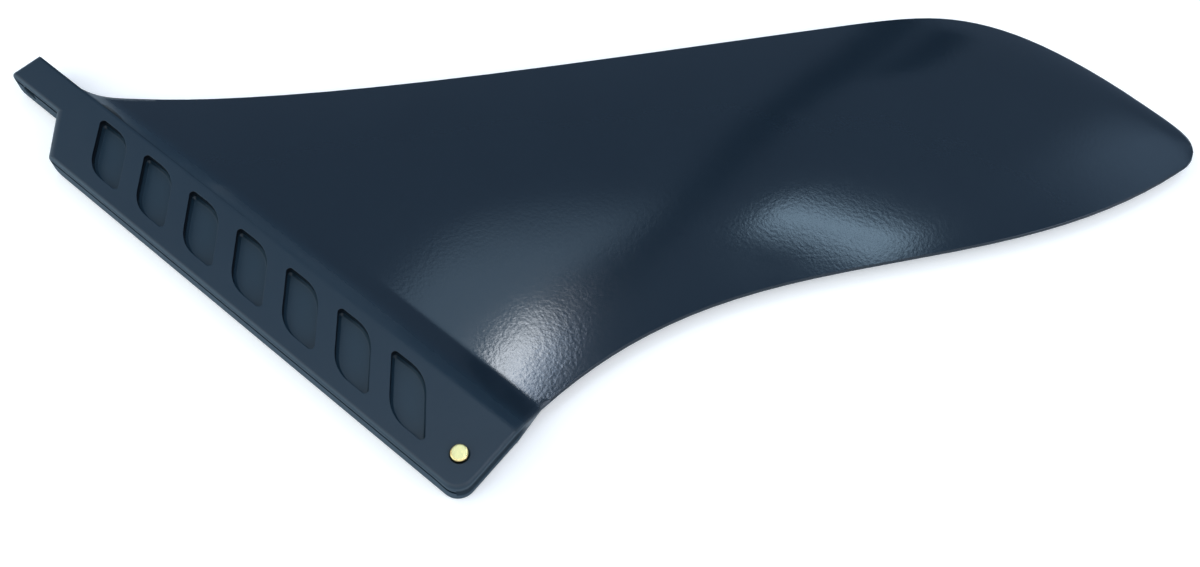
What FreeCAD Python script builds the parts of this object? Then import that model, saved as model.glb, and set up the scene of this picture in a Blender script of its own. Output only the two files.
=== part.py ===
"""Surfboard centre fin with a slide-in base: moulded fin and brass cross pin.

Frame: X runs along the base from the screw tongue to the rear, Y from the base to the
fin's tip and Z through the thickness. Z = 0 is the middle plane, Y = 0 the level of the
tongue's top, where the board's skin meets the fin, and X = 0 the axis of the screw hole.
Lengths are in millimetres.
"""
import FreeCAD
import Part
import Sketcher
import math
import os

from FreeCAD import Placement, Rotation, Vector

SIZES = (
    # block that slides into the board's box
    ("base_thick", 9.4),
    ("base_depth", 22.4),
    ("base_rear", 189.2),
    ("base_edge_radius", 1.05),
    ("rear_corner_radius", 5.0),
    ("front_slope_deg", 45.0),
    # tongue that takes the plate screw
    ("tongue_reach", 7.2),
    ("tongue_depth", 10.0),
    ("tongue_root", 14.9),
    ("front_edge_radius", 2.5),
    ("screw_hole_dia", 5.0),
    ("screw_hole_mouth", 0.3),
    # cross pin near the rear
    ("pin_dia", 4.76),
    ("pin_setback", 7.2),
    ("pin_height", 8.3),
    ("pin_proud", 1.2),
    ("pin_rim", 0.2),
    ("pin_clearance", 0.02),
    ("bore_mouth", 0.3),
    # core-out pockets, the same on both sides
    ("pocket_pitch", 20.0),
    ("pocket_first", 28.0),
    ("pocket_width", 12.75),
    ("pocket_height", 14.5),
    ("pocket_top_wall", 3.2),
    ("pocket_slant_deg", 41.4),
    ("pocket_sharp_radius", 1.0),
    ("pocket_broad_radius", 12.0),
    ("pocket_deep", 3.0),
    ("pocket_floor_bevel", 0.7),
    ("rear_land", 15.0),
    # ramp between the block and the blade
    ("ramp_height", 10.0),
    ("ramp_front", 14.0),
    ("ramp_hollow", 4.2),
    ("ramp_levels", 5),
    # blade section
    ("root_thick", 9.0),
    ("rim_thick", 1.4),
    ("rim_bevel", 0.45),
    ("crest_share", 0.38),
    ("taper_power", 0.9),
    ("fan_power", 1.4),
    ("station_count", 18),
    ("station_power", 1.7),
    # tip, where the two edges would meet if it were not rounded
    ("tip_x", 298.3),
    ("tip_y", 218.2),
    ("tip_radius", 10.9),
    ("tip_chord", 4.0),
    # leading edge: control points from the root up, then back from the tip
    ("lead_root_x", 26.4),
    ("lead_low_x", 54.5),
    ("lead_low_y", 31.9),
    ("lead_mid_x", 126.8),
    ("lead_mid_y", 119.5),
    ("lead_high_back", 112.5),
    ("lead_high_drop", 21.1),
    ("lead_crown_reach", 80.7),
    ("lead_tip_deg", -11.4),
    # trailing edge: control points from the root up, then back from the tip
    ("trail_low_x", 198.2),
    ("trail_low_y", 93.8),
    ("trail_high_reach", 100.5),
    ("trail_tip_deg", 72.9),
)

doc = FreeCAD.newDocument("surfboard_fin")
sheet = doc.addObject("Spreadsheet::Sheet", "sizes")
for row, (alias, value) in enumerate(SIZES, 1):
    sheet.set("A%d" % row, alias)
    sheet.set("B%d" % row, str(value))
    sheet.setAlias("B%d" % row, alias)
doc.recompute()


# lengths nearer than this count as the same
CLOSE = 1e-3


def size(alias):
    """Value of one driving dimension."""
    return float(sheet.get(alias))


def point(stem):
    """Control point in the plan, from its two cells."""
    return Vector(size(stem + "_x"), size(stem + "_y"), 0)


# Sketches


def plane(body, role):
    """One of the body's own origin planes."""
    for feature in body.Origin.OriginFeatures:
        if feature.Role == role:
            return feature
    raise ValueError(role)


def new_sketch(body, name, role, offset=None):
    """Sketch on an origin plane of the body, moved by the offset."""
    sketch = body.newObject("Sketcher::SketchObject", name)
    sketch.AttachmentSupport = [(plane(body, role), "")]
    sketch.MapMode = "FlatFace"
    if offset is not None:
        sketch.AttachmentOffset = offset
    return sketch


def bind(sketch, kind, *details):
    """Add a dimension to the sketch. The last detail is the formula that drives it."""
    index = sketch.addConstraint(Sketcher.Constraint(kind, *details[:-1]))
    sketch.setExpression("Constraints[%d]" % index, details[-1])


def relate(sketch, kind, *details):
    """Add a relation without a value to the sketch."""
    sketch.addConstraint(Sketcher.Constraint(kind, *details))


def end_near(sketch, edge, place):
    """Number of the edge's end that lies at the place."""
    if sketch.getPoint(edge, 1).distanceToPoint(place) < CLOSE:
        return 1
    return 2


def add_loop(sketch, corners, edges):
    """Closed loop of edges, each joined to the next at the following corner."""
    numbers = [sketch.addGeometry(edge, False) for edge in edges]
    for index, number in enumerate(numbers):
        following = numbers[(index + 1) % len(numbers)]
        place = corners[(index + 1) % len(corners)]
        relate(sketch, "Coincident", number, end_near(sketch, number, place),
               following, end_near(sketch, following, place))
    return numbers


# Foil sections


def crown(start, end, crest):
    """Smooth curve between two rims: two parabolas that meet, level, at the crest."""
    share = size("crest_share")
    middle = start.x + (end.x - start.x) * share
    poles = [
        start,
        Vector((start.x + middle) / 2, crest, 0),
        Vector((middle + end.x) / 2, crest, 0),
        end,
    ]
    curve = Part.BSplineCurve()
    curve.buildFromPolesMultsKnots(poles, [3, 1, 3], [0, share, 1], False, 2)
    return curve


def foil(chord, front_half, crest_half, rear_half, bevel):
    """Corners and edges of a closed section, with bevelled rims and a crown on each side."""
    corners = [
        Vector(0, front_half - bevel, 0),
        Vector(bevel, front_half, 0),
        Vector(chord - bevel, rear_half, 0),
        Vector(chord, rear_half - bevel, 0),
    ]
    corners += [Vector(corner.x, -corner.y, 0) for corner in reversed(corners)]
    edges = [
        Part.LineSegment(corners[0], corners[1]),
        crown(corners[1], corners[2], crest_half),
        Part.LineSegment(corners[2], corners[3]),
        Part.LineSegment(corners[3], corners[4]),
        Part.LineSegment(corners[4], corners[5]),
        crown(corners[6], corners[5], -crest_half),
        Part.LineSegment(corners[6], corners[7]),
        Part.LineSegment(corners[7], corners[0]),
    ]
    return corners, edges


def section(body, name, start, end, halves, bevel):
    """Section of the fin between two points of its outline, square to the plan."""
    along = (end - start).normalize()
    turn = Rotation(along, Vector(0, 0, 1), along.cross(Vector(0, 0, 1)), "XYZ")
    sketch = new_sketch(body, name, "XY_Plane", Placement(start, turn))
    corners, edges = foil((end - start).Length, halves[0], halves[1], halves[2], bevel)
    add_loop(sketch, corners, edges)
    return sketch


# Outline of the blade


def way(alias):
    """Direction in the plan, from an angle above the X axis."""
    angle = math.radians(size(alias))
    return Vector(math.cos(angle), math.sin(angle), 0)


def tip_setback():
    """Distance from the tip's corner to either end of its rounding."""
    half = (math.pi - way("lead_tip_deg").getAngle(way("trail_tip_deg") * -1)) / 2
    return size("tip_radius") / math.tan(half)


def leading_edge():
    """Leading edge: one cubic spline with six control points, the last on the tip's rounding."""
    tip = point("tip")
    poles = [
        Vector(size("lead_root_x"), size("ramp_height"), 0),
        point("lead_low"),
        point("lead_mid"),
        tip - Vector(size("lead_high_back"), size("lead_high_drop"), 0),
        tip - way("lead_tip_deg") * size("lead_crown_reach"),
        tip - way("lead_tip_deg") * tip_setback(),
    ]
    curve = Part.BSplineCurve()
    curve.buildFromPolesMultsKnots(poles, [4, 1, 1, 4], [0, 1, 2, 3], False, 3)
    return curve


def trailing_edge():
    """Trailing edge: one cubic curve with four control points, the last on the tip's rounding."""
    tip = point("tip")
    curve = Part.BezierCurve()
    curve.setPoles([
        Vector(size("base_rear"), size("ramp_height"), 0),
        point("trail_low"),
        tip - way("trail_tip_deg") * size("trail_high_reach"),
        tip - way("trail_tip_deg") * tip_setback(),
    ])
    return curve


def half_tip(edge, centre, outward, turn):
    """One edge of the blade with the tip's arc on its end, up to the last chord."""
    first = edge.value(edge.LastParameter)
    last = centre + Rotation(Vector(0, 0, 1), turn).multVec(outward)
    bulge = ((first - centre).normalize() + (last - centre).normalize()).normalize()
    arc = Part.Arc(first, centre + bulge * outward.Length, last)
    return Part.Wire([edge.toShape(), arc.toShape()])


def blade_paths():
    """The blade's outline as two paths, from the root's ends to the tip's last chord."""
    lead = leading_edge()
    trail = trailing_edge()
    radius = size("tip_radius")
    outward = (way("lead_tip_deg") + way("trail_tip_deg")).normalize()
    centre = point("tip") - outward * math.hypot(radius, tip_setback())
    turn = math.degrees(math.asin(size("tip_chord") / (2 * radius)))
    front = half_tip(lead, centre, outward * radius, turn)
    rear = half_tip(trail, centre, outward * radius, -turn)
    return front, rear


def at_share(wire, share):
    """Point of a wire at a share of its length."""
    left = share * wire.Length
    for edge in wire.OrderedEdges[:-1]:
        if left <= edge.Length:
            return edge.valueAt(edge.getParameterByLength(left))
        left -= edge.Length
    edge = wire.OrderedEdges[-1]
    return edge.valueAt(edge.getParameterByLength(min(left, edge.Length)))


# Moulded fin


def recomputed(feature):
    """The feature, once the document is up to date."""
    doc.recompute()
    return feature


def base_plan(fin):
    """Outline of the block and its tongue."""
    sketch = new_sketch(fin, "base_plan", "XY_Plane")
    rear = size("base_rear")
    depth = size("base_depth")
    under = size("tongue_depth")
    root = size("tongue_root")
    foot = root + (depth - under) / math.tan(math.radians(size("front_slope_deg")))
    corners = [
        Vector(-size("tongue_reach"), -under, 0),
        Vector(-size("tongue_reach"), 0, 0),
        Vector(rear, 0, 0),
        Vector(rear, -depth, 0),
        Vector(foot, -depth, 0),
        Vector(root, -under, 0),
    ]
    ends = corners[1:] + corners[:1]
    edges = [Part.LineSegment(start, end) for start, end in zip(corners, ends)]
    front, top, back, bottom, slope, shelf = add_loop(sketch, corners, edges)
    relate(sketch, "Vertical", front)
    relate(sketch, "Vertical", back)
    relate(sketch, "Horizontal", top)
    relate(sketch, "Horizontal", bottom)
    relate(sketch, "Horizontal", shelf)
    relate(sketch, "PointOnObject", top, 1, -1)
    bind(sketch, "DistanceX", top, 1, -1, 1, -corners[1].x, "sizes.tongue_reach")
    bind(sketch, "DistanceX", -1, 1, top, 2, rear, "sizes.base_rear")
    bind(sketch, "DistanceY", front, 1, front, 2, under, "sizes.tongue_depth")
    bind(sketch, "DistanceY", back, 2, back, 1, depth, "sizes.base_depth")
    bind(sketch, "DistanceX", -1, 1, shelf, 1, root, "sizes.tongue_root")
    bind(sketch, "DistanceX", -1, 1, slope, 1, foot,
         "sizes.tongue_root + (sizes.base_depth - sizes.tongue_depth)"
         " / tan(sizes.front_slope_deg * 1 deg)")
    return sketch


def base_block(fin):
    """Block and tongue at the base's full thickness."""
    sketch = base_plan(fin)
    pad = fin.newObject("PartDesign::Pad", "base_block")
    pad.Profile = sketch
    pad.SideType = "Symmetric"
    pad.setExpression("Length", "sizes.base_thick")
    return recomputed(pad)


def loft(fin, name, sketches):
    """Smooth solid through the sections."""
    feature = fin.newObject("PartDesign::AdditiveLoft", name)
    feature.Profile = sketches[0]
    feature.Sections = sketches[1:]
    feature.Ruled = False
    return recomputed(feature)


def ramp(fin):
    """Ramp from the block's flat sides to the blade's root.

    It is straight at the rear and hollow towards the leading edge.
    """
    levels = int(size("ramp_levels"))
    block_half = size("base_thick") / 2
    rim_half = size("rim_thick") / 2
    sketches = []
    for level in range(levels + 1):
        up = (level / levels) ** 2
        front_x = size("ramp_front") + (size("lead_root_x") - size("ramp_front")) * up
        start = Vector(front_x, size("ramp_height") * up, 0)
        end = Vector(size("base_rear"), start.y, 0)
        front_half = rim_half + (block_half - rim_half) * (1 - up) ** size("ramp_hollow")
        rear_half = rim_half + (block_half - rim_half) * (1 - up)
        crest_half = block_half + (size("root_thick") / 2 - block_half) * up
        name = "ramp_section_%d" % level
        halves = (front_half, crest_half, rear_half)
        sketches.append(section(fin, name, start, end, halves, size("rim_bevel")))
    return loft(fin, "ramp", sketches)


def blade(fin):
    """Foiled blade: sections fanned from the root chord round to the tip."""
    front, rear = blade_paths()
    count = int(size("station_count"))
    rim = size("rim_thick")
    root_chord = size("base_rear") - size("lead_root_x")
    sketches = []
    for station in range(count + 1):
        left = (1 - station / count) ** size("station_power")
        start = at_share(front, 1 - left)
        end = at_share(rear, 1 - left ** size("fan_power"))
        fullness = ((end - start).Length / root_chord) ** size("taper_power")
        thick = rim + (size("root_thick") - rim) * fullness
        halves = (rim / 2, thick / 2, rim / 2)
        name = "blade_section_%02d" % station
        sketches.append(section(fin, name, start, end, halves, size("rim_bevel")))
    return loft(fin, "blade", sketches)


def edges_where(shape, test):
    """Names of the shape's edges whose bounding box passes the test."""
    return ["Edge%d" % number for number, edge in enumerate(shape.Edges, 1) if test(edge.BoundBox)]


def round_edges(fin, base, name, test, formula):
    """Fillet on the edges that pass the test."""
    fillet = fin.newObject("PartDesign::Fillet", name)
    fillet.Base = (base, edges_where(base.Shape, test))
    fillet.setExpression("Radius", formula)
    return recomputed(fillet)


def bevel_edges(body, base, name, test, formula):
    """Chamfer on the edges that pass the test."""
    chamfer = body.newObject("PartDesign::Chamfer", name)
    chamfer.Base = (base, edges_where(base.Shape, test))
    chamfer.setExpression("Size", formula)
    return recomputed(chamfer)


def near(a, b):
    """Whether two coordinates are the same."""
    return abs(a - b) < CLOSE


def round_block(fin, base):
    """Rounded corners and edges of the block, before anything is cut into it."""
    half = size("base_thick") / 2
    depth = size("base_depth")
    rear = size("base_rear")
    front = size("tongue_reach")
    root = size("tongue_root")

    def rear_corner(box):
        return near(box.XMin, rear) and near(box.YMax, -depth) and box.ZLength > half

    def front_ends(box):
        flat = near(box.ZMin, box.ZMax) and near(abs(box.ZMin), half)
        tongue_end = near(box.XMax, -front) and box.YLength > half
        slope = near(box.XMin, root) and near(box.YMin, -depth)
        return flat and (tongue_end or slope)

    def lower_rims(box):
        flat = near(box.ZMin, box.ZMax) and near(abs(box.ZMin), half)
        bottom = near(box.YMax, -depth) and box.XLength > front
        back = near(box.XMin, rear) and box.YLength > half
        shelf = near(box.YMin, -size("tongue_depth")) and near(box.YMax, box.YMin)
        return flat and (bottom or back or shelf)

    base = round_edges(fin, base, "rear_corner", rear_corner, "sizes.rear_corner_radius")
    base = round_edges(fin, base, "front_ends", front_ends, "sizes.front_edge_radius")
    base = round_edges(fin, base, "lower_rims", lower_rims, "sizes.base_edge_radius")
    return base


def rounded_corner(before, corner, after, radius):
    """Arc that rounds a corner, with the two points where it meets the sides."""
    back = (before - corner).normalize()
    ahead = (after - corner).normalize()
    half = back.getAngle(ahead) / 2
    start = corner + back * (radius / math.tan(half))
    end = corner + ahead * (radius / math.tan(half))
    centre = corner + (back + ahead).normalize() * (radius / math.sin(half))
    middle = centre + (corner - centre).normalize() * radius
    return Part.Arc(start, middle, end), start, end


def pocket_plan(fin):
    """Outline of the foremost pocket: a leaning slot with two sharp and two broad corners."""
    sketch = new_sketch(fin, "pocket_plan", "XY_Plane")
    sketch.setExpression("AttachmentOffset.Base.z", "sizes.base_thick / 2")
    top = -size("pocket_top_wall")
    bottom = top - size("pocket_height")
    lean = size("pocket_height") * math.tan(math.radians(size("pocket_slant_deg")))
    left = size("pocket_first")
    right = left + size("pocket_width")
    corners = [Vector(left, top, 0), Vector(right, top, 0)]
    corners += [Vector(right + lean, bottom, 0), Vector(left + lean, bottom, 0)]
    radii = ("pocket_sharp_radius", "pocket_broad_radius") * 2
    rounds = []
    for index in range(4):
        after = corners[(index + 1) % 4]
        rounds.append(rounded_corner(corners[index - 1], corners[index], after, size(radii[index])))
    joints = []
    edges = []
    for index in range(4):
        arc, start, end = rounds[index]
        joints += [start, end]
        edges += [arc, Part.LineSegment(end, rounds[(index + 1) % 4][1])]
    numbers = [sketch.addGeometry(edge, False) for edge in edges]
    for index, number in enumerate(numbers):
        following = numbers[(index + 1) % 8]
        place = joints[(index + 1) % 8]
        relate(sketch, "Tangent", number, end_near(sketch, number, place),
               following, end_near(sketch, following, place))
    top_line, right_line, bottom_line, left_line = numbers[1::2]
    relate(sketch, "Horizontal", top_line)
    relate(sketch, "Horizontal", bottom_line)
    relate(sketch, "Parallel", right_line, left_line)
    marks = [sketch.addGeometry(Part.Point(corner), True) for corner in corners[:3]]
    meetings = ((left_line, top_line), (top_line, right_line), (right_line, bottom_line))
    for mark, lines in zip(marks, meetings):
        relate(sketch, "PointOnObject", mark, 1, lines[0])
        relate(sketch, "PointOnObject", mark, 1, lines[1])
    for number, radius in zip(numbers[0::2], radii):
        bind(sketch, "Radius", number, size(radius), "sizes." + radius)
    bind(sketch, "DistanceX", -1, 1, marks[0], 1, left, "sizes.pocket_first")
    bind(sketch, "DistanceX", marks[0], 1, marks[1], 1, right - left, "sizes.pocket_width")
    bind(sketch, "DistanceY", marks[0], 1, -1, 1, -top, "sizes.pocket_top_wall")
    bind(sketch, "DistanceY", marks[2], 1, marks[1], 1, top - bottom, "sizes.pocket_height")
    bind(sketch, "DistanceX", marks[1], 1, marks[2], 1, lean,
         "sizes.pocket_height * tan(sizes.pocket_slant_deg * 1 deg)")
    return sketch


def pocket_copies():
    """Number of pockets that fit between the first one and the solid land at the rear."""
    lean = size("pocket_height") * math.tan(math.radians(size("pocket_slant_deg")))
    room = size("base_rear") - size("rear_land") - lean - size("pocket_width") - size("pocket_first")
    return int(room // size("pocket_pitch")) + 1


def pockets(fin):
    """Row of core-out pockets, the same on both sides."""
    sketch = pocket_plan(fin)
    first = fin.newObject("PartDesign::Pocket", "pocket")
    first.Profile = sketch
    first.setExpression("Length", "sizes.pocket_deep")
    doc.recompute()
    row = doc.addObject("PartDesign::LinearPattern", "pocket_row")
    row.Direction = (sketch, ["H_Axis"])
    row.Mode = "Spacing"
    row.setExpression("Offset", "sizes.pocket_pitch")
    row.Occurrences = pocket_copies()
    other = doc.addObject("PartDesign::Mirrored", "pocket_other_side")
    other.MirrorPlane = (plane(fin, "XY_Plane"), [""])
    both = fin.newObject("PartDesign::MultiTransform", "pockets")
    both.Originals = [first]
    both.Transformations = [row, other]
    fin.Tip = both
    doc.recompute()
    floor = size("base_thick") / 2 - size("pocket_deep")

    def floors(box):
        return near(box.ZMin, box.ZMax) and near(abs(box.ZMin), floor)

    return bevel_edges(fin, both, "pocket_floors", floors, "sizes.pocket_floor_bevel")


def pin_bore(fin):
    """Bore for the cross pin, with a small bevel at both mouths."""
    sketch = new_sketch(fin, "pin_bore_plan", "XY_Plane")
    x = size("base_rear") - size("pin_setback")
    depth = size("base_depth") - size("pin_height")
    radius = size("pin_dia") / 2 + size("pin_clearance")
    circle = sketch.addGeometry(Part.Circle(Vector(x, -depth, 0), Vector(0, 0, 1), radius), False)
    bind(sketch, "DistanceX", -1, 1, circle, 3, x, "sizes.base_rear - sizes.pin_setback")
    bind(sketch, "DistanceY", circle, 3, -1, 1, depth, "sizes.base_depth - sizes.pin_height")
    bind(sketch, "Radius", circle, radius, "sizes.pin_dia / 2 + sizes.pin_clearance")
    bore = fin.newObject("PartDesign::Pocket", "pin_bore")
    bore.Profile = sketch
    bore.SideType = "Symmetric"
    bore.setExpression("Length", "sizes.base_thick")
    doc.recompute()

    def mouths(box):
        centred = near((box.XMin + box.XMax) / 2, x) and near((box.YMin + box.YMax) / 2, -depth)
        return centred and near(box.ZMin, box.ZMax)

    return bevel_edges(fin, bore, "pin_bore_mouths", mouths, "sizes.bore_mouth")


def screw_hole(fin):
    """Hole through the tongue for the plate screw, with a small bevel at both mouths."""
    sketch = new_sketch(fin, "screw_hole_plan", "XZ_Plane")
    radius = size("screw_hole_dia") / 2
    circle = sketch.addGeometry(Part.Circle(Vector(0, 0, 0), Vector(0, 0, 1), radius), False)
    relate(sketch, "Coincident", circle, 3, -1, 1)
    bind(sketch, "Diameter", circle, 2 * radius, "sizes.screw_hole_dia")
    hole = fin.newObject("PartDesign::Pocket", "screw_hole")
    hole.Profile = sketch
    hole.SideType = "Symmetric"
    hole.setExpression("Length", "2 * sizes.tongue_depth")
    doc.recompute()

    def mouths(box):
        centred = near(box.XMin, -box.XMax) and near(box.ZMin, -box.ZMax)
        return centred and near(box.YMin, box.YMax)

    return bevel_edges(fin, hole, "screw_hole_mouths", mouths, "sizes.screw_hole_mouth")


def moulded_fin():
    """The fin: block and tongue, ramp, foiled blade, pockets and holes, in one piece."""
    fin = doc.addObject("PartDesign::Body", "fin")
    fin.Label = "fin"
    round_block(fin, base_block(fin))
    ramp(fin)
    blade(fin)
    for cut in (pockets, pin_bore, screw_hole):
        before = fin.Tip.Shape.Volume
        fin.Tip = cut(fin)
        doc.recompute()
        if fin.Tip.Shape.Volume > before - 1:
            raise RuntimeError(cut.__name__)
    return fin


# Brass pin


def cross_pin():
    """Brass pin through the base, standing a little proud of both sides."""
    pin = doc.addObject("PartDesign::Body", "cross_pin")
    pin.Label = "cross_pin"
    sketch = new_sketch(pin, "pin_plan", "XY_Plane")
    radius = size("pin_dia") / 2
    circle = sketch.addGeometry(Part.Circle(Vector(0, 0, 0), Vector(0, 0, 1), radius), False)
    relate(sketch, "Coincident", circle, 3, -1, 1)
    bind(sketch, "Diameter", circle, 2 * radius, "sizes.pin_dia")
    rod = pin.newObject("PartDesign::Pad", "pin_rod")
    rod.Profile = sketch
    rod.SideType = "Symmetric"
    rod.setExpression("Length", "sizes.base_thick + 2 * sizes.pin_proud")
    doc.recompute()
    bevel_edges(pin, rod, "pin_rims", lambda box: near(box.ZMin, box.ZMax), "sizes.pin_rim")
    pin.setExpression("Placement.Base.x", "sizes.base_rear - sizes.pin_setback")
    pin.setExpression("Placement.Base.y", "sizes.pin_height - sizes.base_depth")
    return recomputed(pin)


# Files


def checked(bodies):
    """The bodies, once nothing in the document has failed."""
    for item in doc.Objects:
        if "Invalid" in item.State or "Error" in item.State:
            raise RuntimeError(item.Label)
    for body in bodies:
        if body.Shape.isNull() or not body.Shape.isValid():
            raise RuntimeError(body.Label)
    return bodies


pieces = [moulded_fin(), cross_pin()]
doc.recompute()
os.makedirs("parts", exist_ok=True)
for body in checked(pieces):
    body.Shape.exportStep("parts/%s.step" % body.Label)
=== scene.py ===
import math

import bpy
from mathutils import Matrix, Vector


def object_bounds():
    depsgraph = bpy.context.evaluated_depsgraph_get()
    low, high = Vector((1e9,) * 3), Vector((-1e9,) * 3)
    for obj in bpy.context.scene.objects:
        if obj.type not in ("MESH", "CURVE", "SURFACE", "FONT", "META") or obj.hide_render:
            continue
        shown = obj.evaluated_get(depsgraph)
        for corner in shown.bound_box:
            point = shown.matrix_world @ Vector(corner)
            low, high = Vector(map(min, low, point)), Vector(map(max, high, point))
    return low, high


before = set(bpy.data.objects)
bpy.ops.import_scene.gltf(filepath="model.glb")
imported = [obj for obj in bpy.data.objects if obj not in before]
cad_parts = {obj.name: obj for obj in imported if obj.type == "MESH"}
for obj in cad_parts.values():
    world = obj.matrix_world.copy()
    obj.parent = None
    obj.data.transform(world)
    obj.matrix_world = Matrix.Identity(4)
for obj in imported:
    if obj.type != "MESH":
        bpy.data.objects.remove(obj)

cad_box = [list(corner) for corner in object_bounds()]
scene = bpy.context.scene


# Camera, as the photograph was taken: from above, behind the rear of the base.

PHOTO_WIDTH = 1200.0
PHOTO_HEIGHT = 567.0
FOCAL_PX = 991.7
AXIS_PX = (567.78, 277.07)  # where the lens's axis meets the cropped photograph
CAMERA_AT = Vector((0.24919, -0.07446, 0.24532))
CAMERA_RIGHT = Vector((0.78067, 0.62274, 0.05239))
CAMERA_DOWN = Vector((0.55803, -0.65690, -0.50703))
SENSOR_MM = 36.0
CLIP = (0.005, 20)


def make_camera():
    data = bpy.data.cameras.new("camera")
    data.sensor_fit = "HORIZONTAL"
    data.sensor_width = SENSOR_MM
    data.lens = SENSOR_MM * FOCAL_PX / PHOTO_WIDTH
    data.shift_x = (PHOTO_WIDTH / 2 - AXIS_PX[0]) / PHOTO_WIDTH
    data.shift_y = (AXIS_PX[1] - PHOTO_HEIGHT / 2) / PHOTO_WIDTH
    data.clip_start, data.clip_end = CLIP
    camera = bpy.data.objects.new("camera", data)
    right = CAMERA_RIGHT.normalized()
    back = right.cross(-CAMERA_DOWN).normalized()
    up = back.cross(right).normalized()
    turn = Matrix((right, up, back)).transposed()
    camera.matrix_world = Matrix.Translation(CAMERA_AT) @ turn.to_4x4()
    scene.collection.objects.link(camera)
    scene.camera = camera


make_camera()
scene.view_settings.view_transform = "Standard"


# Node helpers


def new_material(name):
    material = bpy.data.materials.new(name)
    material.use_nodes = True
    tree = material.node_tree
    tree.nodes.clear()
    out = node(tree, "ShaderNodeOutputMaterial")
    shader = node(tree, "ShaderNodeBsdfPrincipled")
    link(tree, shader.outputs[0], out.inputs[0])
    place = node(tree, "ShaderNodeTexCoord").outputs["Object"]
    return material, tree, shader.inputs, place


def node(tree, kind, **settings):
    made = tree.nodes.new(kind)
    for key, value in settings.items():
        setattr(made, key, value)
    return made


def link(tree, a, b):
    tree.links.new(a, b)


def feed(tree, socket, value):
    """Set a socket to a number or colour, or link it to another socket."""
    if isinstance(value, (int, float, tuple)):
        socket.default_value = value
    else:
        link(tree, value, socket)


def math_node(tree, operation, *values):
    made = node(tree, "ShaderNodeMath", operation=operation)
    for socket, value in zip(made.inputs, values):
        feed(tree, socket, value)
    return made.outputs[0]


def scaled(tree, value, factor, offset=0.0):
    """value * factor + offset"""
    return math_node(tree, "MULTIPLY_ADD", value, factor, offset)


def inverse(tree, value):
    return scaled(tree, value, -1.0, 1.0)


def distance(tree, value):
    return math_node(tree, "ABSOLUTE", value)


def product(tree, first, *others):
    for other in others:
        first = math_node(tree, "MULTIPLY", first, other)
    return first


def larger(tree, a, b):
    return math_node(tree, "MAXIMUM", a, b)


def below(tree, value, limit):
    return math_node(tree, "LESS_THAN", value, limit)


def above(tree, value, limit):
    return math_node(tree, "GREATER_THAN", value, limit)


def ramp_value(tree, value, low, high):
    """0 below low, 1 above high, smooth between."""
    made = node(tree, "ShaderNodeMapRange", interpolation_type="SMOOTHSTEP")
    link(tree, value, made.inputs["Value"])
    made.inputs["From Min"].default_value = low
    made.inputs["From Max"].default_value = high
    return made.outputs["Result"]


def axes(tree, vector):
    """The X, Y and Z of a vector."""
    split = node(tree, "ShaderNodeSeparateXYZ")
    link(tree, vector, split.inputs[0])
    return split.outputs


def facing_axes(tree):
    """The X, Y and Z of the surface's own direction."""
    return axes(tree, node(tree, "ShaderNodeNewGeometry").outputs["Normal"])


NOISE_ROUGHNESS = 0.55


def noise(tree, vector, scale, detail):
    made = node(tree, "ShaderNodeTexNoise")
    link(tree, vector, made.inputs["Vector"])
    made.inputs["Scale"].default_value = scale
    made.inputs["Detail"].default_value = detail
    made.inputs["Roughness"].default_value = NOISE_ROUGHNESS
    return made.outputs["Fac"]


def mix_color(tree, factor, a, b, blend="MIX"):
    made = node(tree, "ShaderNodeMix", data_type="RGBA", blend_type=blend)
    link(tree, factor, made.inputs["Factor"])
    feed(tree, made.inputs[6], a)
    feed(tree, made.inputs[7], b)
    return made.outputs[2]


def mix_value(tree, factor, a, b):
    made = node(tree, "ShaderNodeMix", data_type="FLOAT")
    link(tree, factor, made.inputs["Factor"])
    feed(tree, made.inputs[2], a)
    feed(tree, made.inputs[3], b)
    return made.outputs[0]


def bump(tree, height, distance, strength, normal):
    made = node(tree, "ShaderNodeBump")
    made.inputs["Strength"].default_value = strength
    made.inputs["Distance"].default_value = distance
    link(tree, height, made.inputs["Height"])
    link(tree, normal, made.inputs["Normal"])
    return made.outputs[0]


def camera_sees(tree):
    return node(tree, "ShaderNodeLightPath").outputs["Is Camera Ray"]


# Plastic of the fin. Places are metres on the frame's axes; a pair is the two ends of a fade.

BLADE_FROM_Y = (0.0, 0.0065)
RIM_FROM_Y = (0.010, 0.014)
RAMP_FOOT_Y = (-0.0012, -0.0006)
RAMP_TOP_Y = (0.0125, 0.014)
PARTING_BOTTOM_Z = 0.0021
PARTING_REAR_Z = 0.0004
PARTING_TURN_X = (0.180, 0.190)
PARTING_HALF_WIDTH = (0.0003, 0.0009)
PARTING_REAR_WIDER = 2.0
PARTING_REAR_FAINTER = 0.35
POCKET_INSIDE_Z = (0.0034, 0.0042)
POCKET_SHADE_Z = (0.0030, 0.0038)
POCKET_BOTTOM_Y = (-0.0200, -0.0185)
POCKETS_X = (0.024, 0.176)

# noise, as scale and detail
FINE_NOISE = (2600.0, 2.0)
PEEL_NOISE = (900.0, 2.0)
MEDIUM_NOISE = (300.0, 4.0)
BROAD_NOISE = (28.0, 3.0)

# slopes: the largest or smallest part of the surface's direction along an axis
SIDE_SLOPE = 0.35
WALL_SLOPE = 0.8
REAR_SLOPE = 0.6
UNDERSIDE_SLOPE = -0.2

BASE_TONES = (0.0045, 0.0170, 0.0310, 1), (0.0068, 0.0218, 0.0375, 1)
BLADE_TONES = (0.0075, 0.0145, 0.0240, 1), (0.0095, 0.0180, 0.0285, 1)
POCKET_PAINTED_LIGHT_TONE = (0.0080, 0.0270, 0.0450, 1)
PAINTED_WALL_SHADE_TONE = (0.001, 0.003, 0.006, 1)
PARTING_PAINTED_SHADE_TONE = (0.002, 0.003, 0.005, 1)
PAINTED_WALL_SHADE_COVER = 0.92
WALL_SHADE = (0.65, 0.35)
PARTING_PAINTED_SHADE_COVER = 0.85

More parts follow.
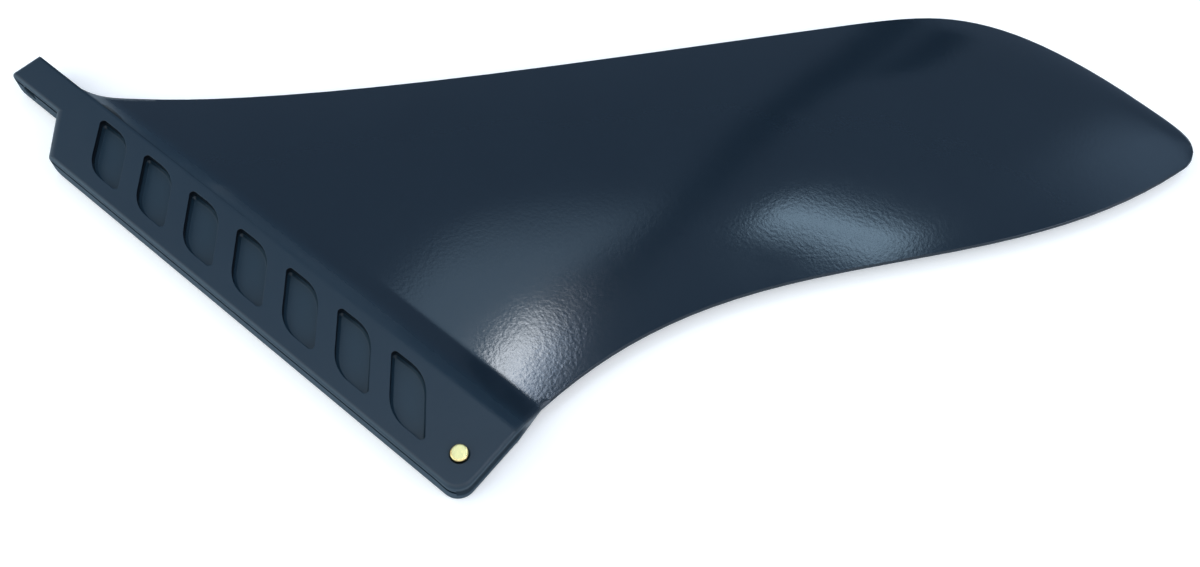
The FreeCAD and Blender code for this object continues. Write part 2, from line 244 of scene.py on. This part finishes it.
# how much of the specular level each place loses
DULL_RIM = 0.7
DULL_SIDE = 0.2
DULL_UNDER_WALL_SHADE = 0.6
SPECULAR = 0.5

# roughness, as the spread over the surface and the least value
BASE_ROUGH = (0.14, 0.36)
BLADE_ROUGH = (0.04, 0.085)
SIDE_ROUGH = (0.1, 0.58)
PARTING_ROUGH = 0.95

# radius over which the shading of an edge is rounded
RAMP_ROUNDING = 0.0022
POCKET_ROUNDING = 0.0005
EDGE_ROUNDING = 0.0002
BEVEL_SAMPLES = 8

# bumps, as distance and strength
GRAIN_BUMP = (0.00006, 0.22)
PARTING_BUMP = (0.0005, 1.0)


def parting_seam_and_shade_mask(tree, place, facing, sideways, base):
    """Line between the two mould halves: off centre along the bottom, centred round the rear; a
    real seam whose groove is darkened with painted shade.
    """
    rear = above(tree, facing["X"], REAR_SLOPE)
    turned = ramp_value(tree, place["X"], *PARTING_TURN_X)
    line = mix_value(tree, turned, PARTING_BOTTOM_Z, PARTING_REAR_Z)
    height = distance(tree, math_node(tree, "SUBTRACT", place["Z"], line))
    reach = math_node(tree, "DIVIDE", height, scaled(tree, rear, PARTING_REAR_WIDER, 1.0))
    seam_and_painted_shade = inverse(tree, ramp_value(tree, reach, *PARTING_HALF_WIDTH))
    return product(tree, seam_and_painted_shade, sideways, base, scaled(tree, rear, -PARTING_REAR_FAINTER, 1.0))


def painted_wall_shade_mask(tree, place, facing, base):
    """Painted shade on the walls of the pockets, strongest under their rims."""
    steep = below(tree, distance(tree, facing["Z"]), WALL_SLOPE)
    first, last = POCKETS_X
    along = product(tree, above(tree, place["X"], first), below(tree, place["X"], last))
    shade = ramp_value(tree, distance(tree, place["Z"]), *POCKET_SHADE_Z)
    bottom = ramp_value(tree, place["Y"], *POCKET_BOTTOM_Y)
    return product(tree, steep, bottom, along, base, scaled(tree, shade, *WALL_SHADE))


def plastic():
    """Moulded, dark slate blue: satin base, polished blade with a fine grain."""
    material, tree, inputs, spot = new_material("fin_plastic")
    place = axes(tree, spot)
    facing = facing_axes(tree)
    fine = noise(tree, spot, *FINE_NOISE)
    peel = noise(tree, spot, *PEEL_NOISE)
    medium = noise(tree, spot, *MEDIUM_NOISE)
    broad = noise(tree, spot, *BROAD_NOISE)

    blade = ramp_value(tree, place["Y"], *BLADE_FROM_Y)
    base = inverse(tree, blade)
    sideways = below(tree, distance(tree, facing["Z"]), SIDE_SLOPE)
    seam_and_painted_shade = parting_seam_and_shade_mask(tree, place, facing, sideways, base)
    painted_wall_shade = painted_wall_shade_mask(tree, place, facing, base)
    face = ramp_value(tree, distance(tree, place["Z"]), *POCKET_INSIDE_Z)
    inside = product(tree, inverse(tree, face), base)

    base_tone = mix_color(tree, broad, *BASE_TONES)
    # painted light: the pockets' floors lighter than the top face, lifting the shade inside the
    # pockets
    base_tone = mix_color(tree, inside, base_tone, POCKET_PAINTED_LIGHT_TONE)
    # painted shade: the pockets' walls darkened, most just under their rims
    base_tone = mix_color(tree, scaled(tree, painted_wall_shade, PAINTED_WALL_SHADE_COVER), base_tone, PAINTED_WALL_SHADE_TONE)
    tone = mix_color(tree, blade, base_tone, mix_color(tree, broad, *BLADE_TONES))
    # partly a real seam, partly painted shade: the parting line's groove darkened and its gloss
    # taken away
    tone = mix_color(tree, scaled(tree, seam_and_painted_shade, PARTING_PAINTED_SHADE_COVER), tone, PARTING_PAINTED_SHADE_TONE)
    link(tree, tone, inputs["Base Color"])

    # no gloss in the parting line, whose groove is painted shade; little on the blade's narrow
    # rim, the sides, and the pockets' walls under their painted shade
    rim = product(tree, sideways, ramp_value(tree, place["Y"], *RIM_FROM_Y))
    underside = below(tree, facing["Z"], UNDERSIDE_SLOPE)
    dull = larger(tree, seam_and_painted_shade, scaled(tree, larger(tree, rim, underside), DULL_RIM))
    dull = larger(tree, dull, scaled(tree, sideways, DULL_SIDE))
    dull = larger(tree, dull, scaled(tree, painted_wall_shade, DULL_UNDER_WALL_SHADE))
    link(tree, scaled(tree, dull, -SPECULAR, SPECULAR), inputs["Specular IOR Level"])

    rough_face, rough_side, rough_blade = (
        scaled(tree, medium, *spread) for spread in (BASE_ROUGH, SIDE_ROUGH, BLADE_ROUGH)
    )
    rough = mix_value(tree, sideways, rough_face, rough_side)
    rough = mix_value(tree, seam_and_painted_shade, rough, PARTING_ROUGH)
    rough = mix_value(tree, blade, rough, rough_blade)
    link(tree, rough, inputs["Roughness"])

    # the ramp flows into the block and the blade; all other edges are only eased
    past_foot = ramp_value(tree, place["Y"], *RAMP_FOOT_Y)
    before_top = inverse(tree, ramp_value(tree, place["Y"], *RAMP_TOP_Y))
    flow = scaled(tree, product(tree, past_foot, before_top), RAMP_ROUNDING, EDGE_ROUNDING)
    edge = node(tree, "ShaderNodeBevel", samples=BEVEL_SAMPLES)
    link(tree, larger(tree, flow, scaled(tree, inside, POCKET_ROUNDING)), edge.inputs["Radius"])
    skin = bump(tree, mix_value(tree, blade, fine, peel), *GRAIN_BUMP, edge.outputs[0])
    skin = bump(tree, inverse(tree, seam_and_painted_shade), *PARTING_BUMP, skin)
    link(tree, skin, inputs["Normal"])
    return material


# Brass of the cross pin: bright ends, painted shade round the side.

BRASS_TONES = (0.84, 0.61, 0.25, 1), (0.90, 0.69, 0.31, 1)
PIN_SIDE_SHADE_TONE = (0.16, 0.10, 0.03, 1)
PIN_SIDE_SHADE_COVER = 0.7
BRASS_ROUGH = (0.08, 0.10)
BRASS_NOISE = (500.0, 3.0)
PIN_SIDE_SLOPE = 0.6
PIN_ROUNDING = 0.0007
PIN_BEVEL_SAMPLES = 6
PIN_BUMP = (0.00005, 0.3)


def brass():
    material, tree, inputs, spot = new_material("pin_brass")
    broad = noise(tree, spot, *BRASS_NOISE)
    painted_side_shade = below(tree, distance(tree, facing_axes(tree)["Z"]), PIN_SIDE_SLOPE)
    tone = mix_color(tree, broad, *BRASS_TONES)
    # painted shade: the pin's round side darkened, as its shaded side that reflects the dark
    # base
    tone = mix_color(tree, scaled(tree, painted_side_shade, PIN_SIDE_SHADE_COVER), tone, PIN_SIDE_SHADE_TONE)
    link(tree, tone, inputs["Base Color"])
    inputs["Metallic"].default_value = 1.0
    link(tree, scaled(tree, broad, *BRASS_ROUGH), inputs["Roughness"])
    edge = node(tree, "ShaderNodeBevel", samples=PIN_BEVEL_SAMPLES)
    edge.inputs["Radius"].default_value = PIN_ROUNDING
    link(tree, bump(tree, broad, *PIN_BUMP, edge.outputs[0]), inputs["Normal"])
    return material


def dress(name, material):
    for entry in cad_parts[name].material_slots:
        entry.material = material


dress("fin", plastic())
dress("cross_pin", brass())


# Floor: pale for the light that it throws back, near white for the camera.

FLOOR_TONES = (0.78, 0.85, 0.89, 1), (0.80, 0.87, 0.91, 1)
FLOOR_SEEN_TONE = (1, 0.975, 0.95, 1)
FLOOR_LIFT = 0.19  # light that only the camera sees, so that the floor is white round the shadow
FLOOR_NOISE = (8.0, 2.0)
FLOOR_ROUGH = 0.9
FLOOR_SPECULAR = 0.1
FLOOR_REACH = 3.0
WHITE = (1, 1, 1, 1)


def floor_material():
    material, tree, inputs, spot = new_material("floor")
    seen = camera_sees(tree)
    tone = mix_color(tree, noise(tree, spot, *FLOOR_NOISE), *FLOOR_TONES)
    link(tree, mix_color(tree, seen, tone, FLOOR_SEEN_TONE), inputs["Base Color"])
    inputs["Roughness"].default_value = FLOOR_ROUGH
    inputs["Specular IOR Level"].default_value = FLOOR_SPECULAR
    inputs["Emission Color"].default_value = WHITE
    link(tree, scaled(tree, seen, FLOOR_LIFT), inputs["Emission Strength"])
    return material


def make_floor():
    level = cad_box[0][2]
    signs = ((-1, -1), (1, -1), (1, 1), (-1, 1))
    corners = [(FLOOR_REACH * x, FLOOR_REACH * y, level) for x, y in signs]
    mesh = bpy.data.meshes.new("floor")
    mesh.from_pydata(corners, [], [(0, 1, 2, 3)])
    mesh.materials.append(floor_material())
    floor = bpy.data.objects.new("floor", mesh)
    scene.collection.objects.link(floor)


make_floor()


# Studio: a dim blue front with a few soft panels, and even white light from behind and beside.
# Directions are degrees of azimuth, from +Y towards +X, and of elevation.

# azimuth, elevation, softness
FRONT = ((-89, 58), (-100, 200), 12)
GAPS = (
    ((-19.8, -15.6), (20, 72), 1.3),
    ((-14.5, -10.5), (28, 40), 1.5),
)
# azimuth, elevation, softness, lean, light
PANELS = (
    ((-44, -20.5), (60, 86), 3.5, -1.15, (0.82, 1.2, 1.55, 1)),
    ((-30, -24), (67.4, 78), 1.2, 0, (18, 19.2, 20.5, 1)),
    ((-24, -19), (68, 78), 1, 0, (4.6, 6.0, 8.2, 1)),
    ((-8.3, 9), (56.3, 59.5), 1, 0, (3.6, 5.2, 6.6, 1)),
    ((8, 20), (38, 46), 4, 0, (0.4, 0.6, 0.85, 1)),
    ((-175, -125), (0, 38), 8, 0, (1.1, 1.7, 2.0, 1)),
    ((62, 84), (22, 42), 6, 0, (3.4, 3.9, 5.0, 1)),
)
FRONT_TONE = (0.195, 0.268, 0.378, 1)
GAP_TONE = (0.02, 0.03, 0.04, 1)
BACK_TONES = (0.72, 0.78, 0.84, 1), (1.40, 1.48, 1.56, 1)
BACK_RISE = (25, 50)


def window(tree, azimuth, elevation, across, up, soft):
    """1 inside a range of azimuth and elevation, 0 outside, with soft edges."""
    sides = []
    for angle, (low, high) in ((azimuth, across), (elevation, up)):
        sides.append(ramp_value(tree, angle, low - soft, low + soft))
        sides.append(inverse(tree, ramp_value(tree, angle, high - soft, high + soft)))
    return product(tree, *sides)


def make_world():
    world = bpy.data.worlds.new("studio")
    world.use_nodes = True
    scene.world = world
    tree = world.node_tree
    way = axes(tree, node(tree, "ShaderNodeTexCoord").outputs["Generated"])
    azimuth = scaled(tree, math_node(tree, "ARCTAN2", way["X"], way["Y"]), math.degrees(1))
    elevation = scaled(tree, math_node(tree, "ARCSINE", way["Z"]), math.degrees(1))
    tone = mix_color(tree, ramp_value(tree, elevation, *BACK_RISE), *BACK_TONES)
    tone = mix_color(tree, window(tree, azimuth, elevation, *FRONT), tone, FRONT_TONE)
    for across, up, soft, lean, light in PANELS:
        shift = scaled(tree, elevation, lean, -lean * up[0])
        leant = math_node(tree, "SUBTRACT", azimuth, shift)
        inside = window(tree, leant, elevation, across, up, soft)
        tone = mix_color(tree, inside, tone, light, blend="ADD")
    for gap in GAPS:
        tone = mix_color(tree, window(tree, azimuth, elevation, *gap), tone, GAP_TONE)
    tone = mix_color(tree, camera_sees(tree), tone, WHITE)
    background = tree.nodes["Background"]
    link(tree, tone, background.inputs[0])
    background.inputs[1].default_value = 1.0


make_world()
